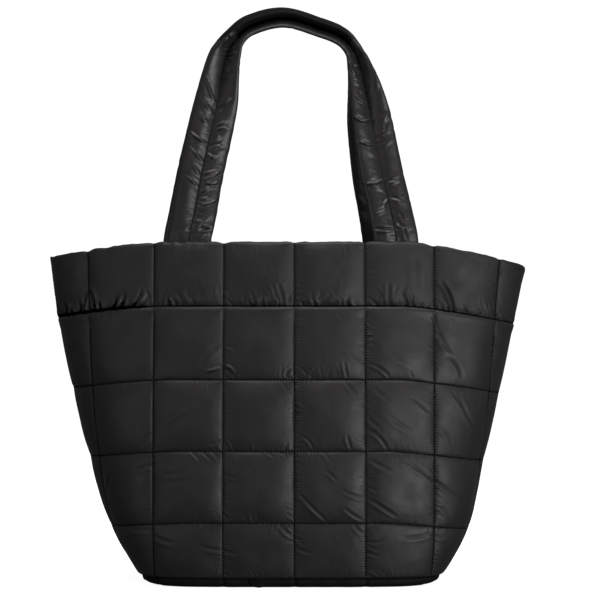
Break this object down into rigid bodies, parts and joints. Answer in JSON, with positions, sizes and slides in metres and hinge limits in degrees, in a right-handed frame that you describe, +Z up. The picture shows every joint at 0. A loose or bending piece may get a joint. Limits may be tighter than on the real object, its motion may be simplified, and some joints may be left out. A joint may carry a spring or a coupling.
{
  "type": "puffer tote bag",
  "caption": "Open-topped quilted puffer tote bag, flaring from a flat oval base to a wide rim, with a padded band below the rim and two padded shoulder straps.",
  "frame": {"origin": "on the floor under the middle of the bag, midway between its left and right sides and between its front and back", "axes": "+Z up; -Y towards the front panel that the picture shows; +X towards the picture's right"},
  "size_m": [0.4909, 0.218, 0.5898],
  "materials": {
    "quilted_nylon": "satin black nylon, quilted over padding",
    "strap_nylon": "satin black nylon, a little glossier where it is pulled tight",
    "base_nylon": "satin black nylon, quilted",
    "tab_cloth": "matt black woven tape"
  },
  "bodies": {
    "root": {"body_front": "quilted_nylon", "body_back": "quilted_nylon", "rim_band_front": "quilted_nylon", "rim_band_back": "quilted_nylon", "base_panel": "base_nylon", "base_tab": "tab_cloth", "strap_front": "strap_nylon", "strap_back": "strap_nylon"}
  },
  "joints": []
}
